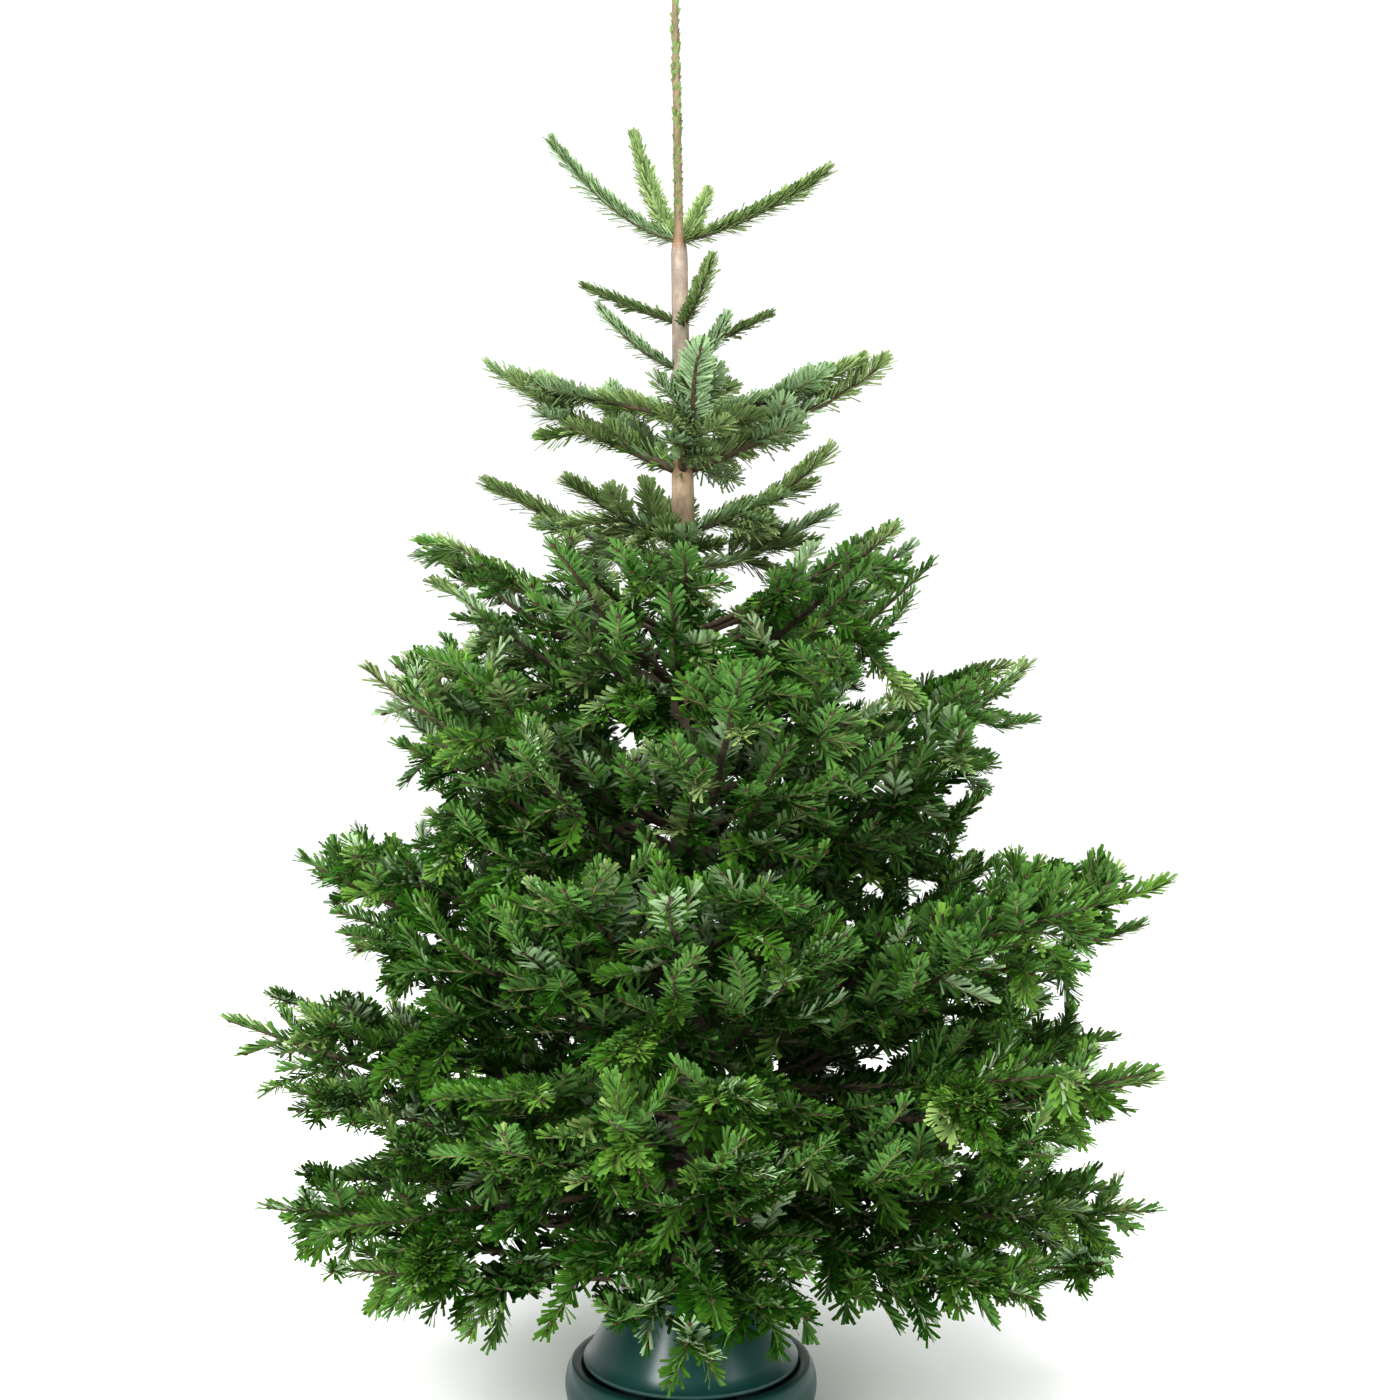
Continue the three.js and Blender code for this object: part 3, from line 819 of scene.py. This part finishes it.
def clothe_leader():
    """Short needles pressed to the last year's leader, thinning towards its tip, and its buds."""
    heights = np.linspace(WHORLS[-1] + 0.02, trunk.heights[-1] - 0.004, 7)
    line = [trunk.centre(z) for z in heights]
    shoots = []
    for i, (low, high) in enumerate(zip(line, line[1:])):
        radius = trunk.radius(low.z)
        shoots.append({"mass": leader_mass, "start": low, "bend": (low + high) / 2, "end": high,
                       "age": 0, "order": 1, "radii": (radius, radius), "share": 0.9 * 0.7 ** i})
    finish_piece(needles("needles_leader", shoots, 2400, scale=0.4, around=True))
    finish_piece(buds("buds_leader", shoots[-1:]))


clothe_leader()


# ---------------- boughs and trunk

def bough_wood():
    """All boughs as rough tapering limbs with a swelling at each year's node."""
    paths, radii = [], []
    for axis in growth.boughs:
        path, radius = [], []
        for shoot in axis:
            steps = max(3, round((shoot["end"] - shoot["start"]).length / 0.014))
            path += shoot_line(shoot, steps)[:-1]
            wide = np.linspace(*shoot["radii"], steps + 1)[:-1]
            wide[0] *= 1.0 if shoot is axis[0] else 1.18
            radius += list(wide)
        paths.append(path + [axis[-1]["end"]])
        radii.append(radius + [0.0015])
    piece = tubes("bough_wood", paths, radii, 7, bough_finish, relief=0.09)
    finish_piece(piece, [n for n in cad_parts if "_bough_" in n])


def clear_selection():
    bpy.ops.object.select_all(action="DESELECT")


def select_only(piece):
    clear_selection()
    piece.select_set(True)
    bpy.context.view_layer.objects.active = piece


def edit_all():
    """Opens the active piece for editing with all of it selected."""
    bpy.ops.object.mode_set(mode="EDIT")
    bpy.ops.mesh.select_all(action="SELECT")


def face_outwards():
    bpy.ops.mesh.select_all(action="SELECT")
    bpy.ops.mesh.normals_make_consistent(inside=False)


def shape_ring(centre, step, ratio):
    """Pulls the selected ring up by a step and draws it in or out."""
    bpy.ops.mesh.extrude_region_move(TRANSFORM_OT_translate={"value": step})
    bpy.ops.transform.resize(value=(ratio, ratio, 1), center_override=centre)


def apply_modifiers(piece):
    bpy.context.view_layer.objects.active = piece
    for modifier in list(piece.modifiers):
        bpy.ops.object.modifier_apply(modifier=modifier.name)


def displaced(piece, kind, size, strength, group):
    """Relief in the mesh itself, by the weights of a vertex group."""
    texture = bpy.data.textures.new(kind.lower() + "_relief", kind)
    texture.noise_scale = size
    modifier = piece.modifiers.new("relief", "DISPLACE")
    modifier.texture = texture
    modifier.strength = strength
    modifier.mid_level = 0.5
    modifier.texture_coords = "LOCAL"
    modifier.vertex_group = group


def settle(piece):
    """Puts the piece's place into its mesh, so that its object sits at the origin."""
    select_only(piece)
    bpy.ops.object.transform_apply(location=True, rotation=True, scale=True)


def trunk_wood():
    """The trunk, drawn up ring by ring, swollen at each whorl, then roughened."""
    clear_selection()
    rings = np.arange(trunk.heights[0], trunk.heights[-1], 0.0165)
    heights = np.append(rings, trunk.heights[-1])

    def width(z):
        swelling = sum(math.exp(-((z - w) / 0.012) ** 2) for w in WHORLS)
        return trunk.radius(z) * (1 + 0.07 * swelling)

    low = trunk.centre(heights[0])
    bpy.ops.mesh.primitive_circle_add(vertices=28, radius=width(heights[0]), fill_type="NGON", location=low)
    piece = bpy.context.object
    piece.name = "trunk_wood"
    edit_all()
    for z, higher in zip(heights, heights[1:]):
        step = trunk.centre(higher) - trunk.centre(z)
        shape_ring(trunk.centre(higher), step, width(higher) / width(z))
    bpy.ops.object.mode_set(mode="OBJECT")
    settle(piece)
    thick = piece.vertex_groups.new(name="thick")
    for vertex in piece.data.vertices:
        thick.add([vertex.index], min(1.0, trunk.radius(vertex.co.z) / 0.03), "REPLACE")
    smooth = piece.modifiers.new("smooth", "SUBSURF")
    smooth.levels = smooth.render_levels = 1
    apply_modifiers(piece)
    displaced(piece, "CLOUDS", 0.022, 0.0030, "thick")
    displaced(piece, "STUCCI", 0.007, 0.0012, "thick")
    apply_modifiers(piece)
    piece.data.materials.append(trunk_finish)
    bpy.ops.object.shade_smooth()
    finish_piece(piece, ["trunk"])


bough_wood()
trunk_wood()


# ---------------- the stand

def arc(middle, radius, start, stop, steps):
    """Points of an arc in the profile plane; radius may differ along and up."""
    return [(middle[0] + radius[0] * math.cos(a), middle[1] + radius[1] * math.sin(a))
            for a in np.radians(np.linspace(start, stop, steps))]


def turned(name, profile, around=96, loop=False):
    """A ring drawn through (radius, height) pairs. A loop closes on itself, as a shell does."""
    clear_selection()
    radius, height = profile[0]
    fill = "NOTHING" if loop else "NGON"
    bpy.ops.mesh.primitive_circle_add(vertices=around, radius=radius, fill_type=fill, location=(0, 0, height))
    piece = bpy.context.object
    piece.name = name
    edit_all()
    rings = profile[1:] + profile[:1] if loop else profile[1:]
    for r, z in rings:
        shape_ring((0, 0, z), (0, 0, z - height), r / radius)
        radius, height = r, z
    if loop:
        bpy.ops.mesh.select_all(action="SELECT")
        bpy.ops.mesh.remove_doubles(threshold=0.00005)
    face_outwards()
    bpy.ops.object.mode_set(mode="OBJECT")
    settle(piece)
    return piece


def rounded(piece, width, angle=30, segments=3):
    bevel = piece.modifiers.new("rounded", "BEVEL")
    bevel.width = width
    bevel.segments = segments
    bevel.limit_method = "ANGLE"
    bevel.angle_limit = math.radians(angle)
    apply_modifiers(piece)
    select_only(piece)
    bpy.ops.object.shade_smooth_by_angle(angle=math.radians(28))


RIM, _, WELL_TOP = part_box("stand_dish")[1]  # radius of the dish where it is widest, and its top
cone_low, cone_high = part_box("stand_cone")
SEAM = cone_high.x  # radius of the cone's foot
SEAM_HEIGHT = cone_low.z
CONE_TOP = cone_high.z
CONE_NECK = 0.092  # radius of the cone's top, before its shoulder
WELL = 0.060  # outer radius of the water well
SKIN = 0.004  # thickness of the plastic


def stand_dish():
    """The dish with its rounded rim and the water well in its middle, in one moulding."""
    bowl = arc((0.160, 0.037), (RIM - 0.160, 0.037), -84, 56, 16)
    profile = [
        (0.100, 0.003), (0.118, 0.003), (0.122, 0.0), (0.156, 0.0), *bowl,
        (SEAM + 0.006, SEAM_HEIGHT - 0.001), (SEAM + 0.001, SEAM_HEIGHT - 0.003),
        (SEAM - 0.001, SEAM_HEIGHT - 0.010), (SEAM - 0.008, 0.014), (SEAM - 0.012, 0.010),
        (WELL + 0.006, 0.010), (WELL, 0.014), (WELL, WELL_TOP - 0.004), (WELL + 0.007, WELL_TOP - 0.003),
        (WELL + 0.007, WELL_TOP), (WELL - SKIN, WELL_TOP), (WELL - SKIN, 0.022), (WELL - 0.012, 0.0185),
    ]
    piece = turned("stand_bowl", profile)
    rounded(piece, 0.0009, 35, 2)
    piece.data.materials.append(stand_finish)
    finish_piece(piece, ["stand_dish"])


def stand_cone():
    """The hollow cone, with a rolled foot and a soft shoulder."""
    slope = (SEAM - CONE_NECK) / (CONE_TOP - SEAM_HEIGHT)

    def wall(z):
        return SEAM - slope * (z - SEAM_HEIGHT)

    shoulder = arc((CONE_NECK - 0.009, CONE_TOP - 0.012), (0.0125, 0.012), 15, 90, 7)
    outside = [(wall(z) - 0.0008, z) for z in np.linspace(SEAM_HEIGHT + 0.010, CONE_TOP - 0.018, 9)]
    profile = [
        (SEAM - 0.006, SEAM_HEIGHT), (SEAM - 0.001, SEAM_HEIGHT), (SEAM, SEAM_HEIGHT + 0.002),
        (SEAM - 0.001, SEAM_HEIGHT + 0.006), *outside, *shoulder, (WELL + 0.0075, CONE_TOP),
        (WELL + 0.0075, CONE_TOP - SKIN), (CONE_NECK - 0.012, CONE_TOP - SKIN),
        (wall(0.150) - SKIN, 0.150), (wall(0.100) - SKIN, 0.100),
    ]
    piece = turned("stand_shell", profile, loop=True)
    rounded(piece, 0.0008, 40, 2)
    piece.data.materials.append(stand_finish)
    finish_piece(piece, ["stand_cone"])


def claw_arm(azimuth):
    """A claw: a bar drawn up along the cone, over its shoulder and in to the trunk."""
    slope = math.atan2(SEAM - CONE_NECK, CONE_TOP - SEAM_HEIGHT)
    pad = trunk.radius(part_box("stand_clamp")[1].z) + 0.004
    line = [(0.1195, 0.134), (0.1130, 0.150), (0.1050, 0.169), (0.0985, 0.185), (0.0930, 0.198),
            (0.0830, 0.208), (0.0700, 0.215), (0.0580, 0.221), (pad + 0.004, 0.226)]
    deep = [0.006, 0.0085, 0.009, 0.010, 0.012, 0.014, 0.014, 0.013, 0.017]
    wide = [0.013, 0.015, 0.016, 0.016, 0.016, 0.016, 0.017, 0.020, 0.026]
    tilt = [-slope, -slope, -slope, -slope, -0.85, -1.15, -1.2, -1.2, -1.35]
    foot = (line[0][0], 0, line[0][1])
    clear_selection()
    bpy.ops.mesh.primitive_plane_add(size=1, location=foot)
    piece = bpy.context.object
    edit_all()
    bpy.ops.transform.resize(value=(deep[0], wide[0], 1), center_override=foot)
    bpy.ops.transform.rotate(value=tilt[0], orient_axis="Y", center_override=foot)
    for i in range(1, len(line)):
        step = (line[i][0] - line[i - 1][0], 0, line[i][1] - line[i - 1][1])
        centre = (line[i][0], 0, line[i][1])
        bpy.ops.mesh.extrude_region_move(TRANSFORM_OT_translate={"value": step})
        bpy.ops.transform.rotate(value=tilt[i] - tilt[i - 1], orient_axis="Y", center_override=centre)
        grow = (deep[i] / deep[i - 1] + wide[i] / wide[i - 1]) / 2
        bpy.ops.transform.resize(value=(grow, wide[i] / wide[i - 1], grow), center_override=centre)
    face_outwards()
    bpy.ops.transform.rotate(value=-azimuth, orient_axis="Z", center_override=(0, 0, 0))
    bpy.ops.object.mode_set(mode="OBJECT")
    settle(piece)
    rounded(piece, 0.0016, 20, 3)
    return piece


def claw_pin(azimuth):
    """The hinge pin of a claw, across the clamp's ring."""
    clear_selection()
    at = Vector((math.cos(azimuth) * 0.078, math.sin(azimuth) * 0.078, 0.2015))
    turn = (math.pi / 2, 0, azimuth)
    bpy.ops.mesh.primitive_cylinder_add(vertices=20, radius=0.0042, depth=0.030, location=at, rotation=turn)
    piece = bpy.context.object
    settle(piece)
    rounded(piece, 0.0009, 40, 2)
    return piece


def stand_clamp():
    """The clamp: a stepped ring that carries four claws on their pins."""
    low = CONE_TOP + 0.0006
    ring = turned("clamp_ring", [
        (WELL + 0.0105, low), (CONE_NECK - 0.010, low), (CONE_NECK - 0.008, low + 0.003),
        (CONE_NECK - 0.008, low + 0.007), (CONE_NECK - 0.012, low + 0.009), (WELL + 0.0125, low + 0.009),
        (WELL + 0.0105, low + 0.006),
    ], around=64, loop=True)
    rounded(ring, 0.0006, 30, 2)
    azimuths = [math.radians(30 + 90 * i) for i in range(4)]
    parts = [make(a) for a in azimuths for make in (claw_arm, claw_pin)]
    select_only(ring)
    for part in parts:
        part.select_set(True)
    bpy.ops.object.join()
    ring.name = "stand_claws"
    ring.data.materials.clear()
    ring.data.materials.append(clamp_finish)
    finish_piece(ring, ["stand_clamp"])


stand_dish()
stand_cone()
stand_clamp()


# ---------------- floor, light and camera

CAMERA_PLACE = (0.013, -2.44, 1.02)
LENS = 43.3
LIGHT_AIM = Vector((0, 0, 0.8))


def floor():
    made = material("floor", (0.97, 0.97, 0.97), 0.9)[0]
    bpy.ops.mesh.primitive_plane_add(size=40, location=(0, 0, -0.0005))
    piece = bpy.context.object
    piece.name = "floor"
    piece.data.materials.append(made)


def softbox(name, place, size, power):
    light = bpy.data.lights.new(name, "AREA")
    light.shape = "RECTANGLE"
    light.size, light.size_y = size
    light.energy = power
    holder = bpy.data.objects.new(name, light)
    bpy.context.scene.collection.objects.link(holder)
    holder.location = place
    holder.rotation_euler = (LIGHT_AIM - Vector(place)).to_track_quat("-Z", "Y").to_euler()


def studio():
    world = bpy.data.worlds.new("studio")
    world.use_nodes = True
    world.node_tree.nodes["Background"].inputs["Color"].default_value = (1, 1, 1, 1)
    world.node_tree.nodes["Background"].inputs["Strength"].default_value = 1.06
    bpy.context.scene.world = world
    softbox("softbox_left", (-2.0, -2.7, 2.2), (1.3, 1.6), 145)
    softbox("softbox_right", (2.7, -1.9, 1.6), (1.1, 2.0), 50)
    softbox("softbox_top", (0.3, -1.4, 4.2), (1.8, 1.8), 125)
    bpy.context.scene.view_settings.view_transform = "Standard"
    bpy.context.scene.view_settings.gamma = 0.85


def camera():
    data = bpy.data.cameras.new("camera")
    data.lens = LENS
    data.sensor_width = 36
    holder = bpy.data.objects.new("camera", data)
    bpy.context.scene.collection.objects.link(holder)
    holder.location = CAMERA_PLACE
    holder.rotation_euler = (math.pi / 2, 0, 0)
    bpy.context.scene.camera = holder


floor()
studio()
camera()
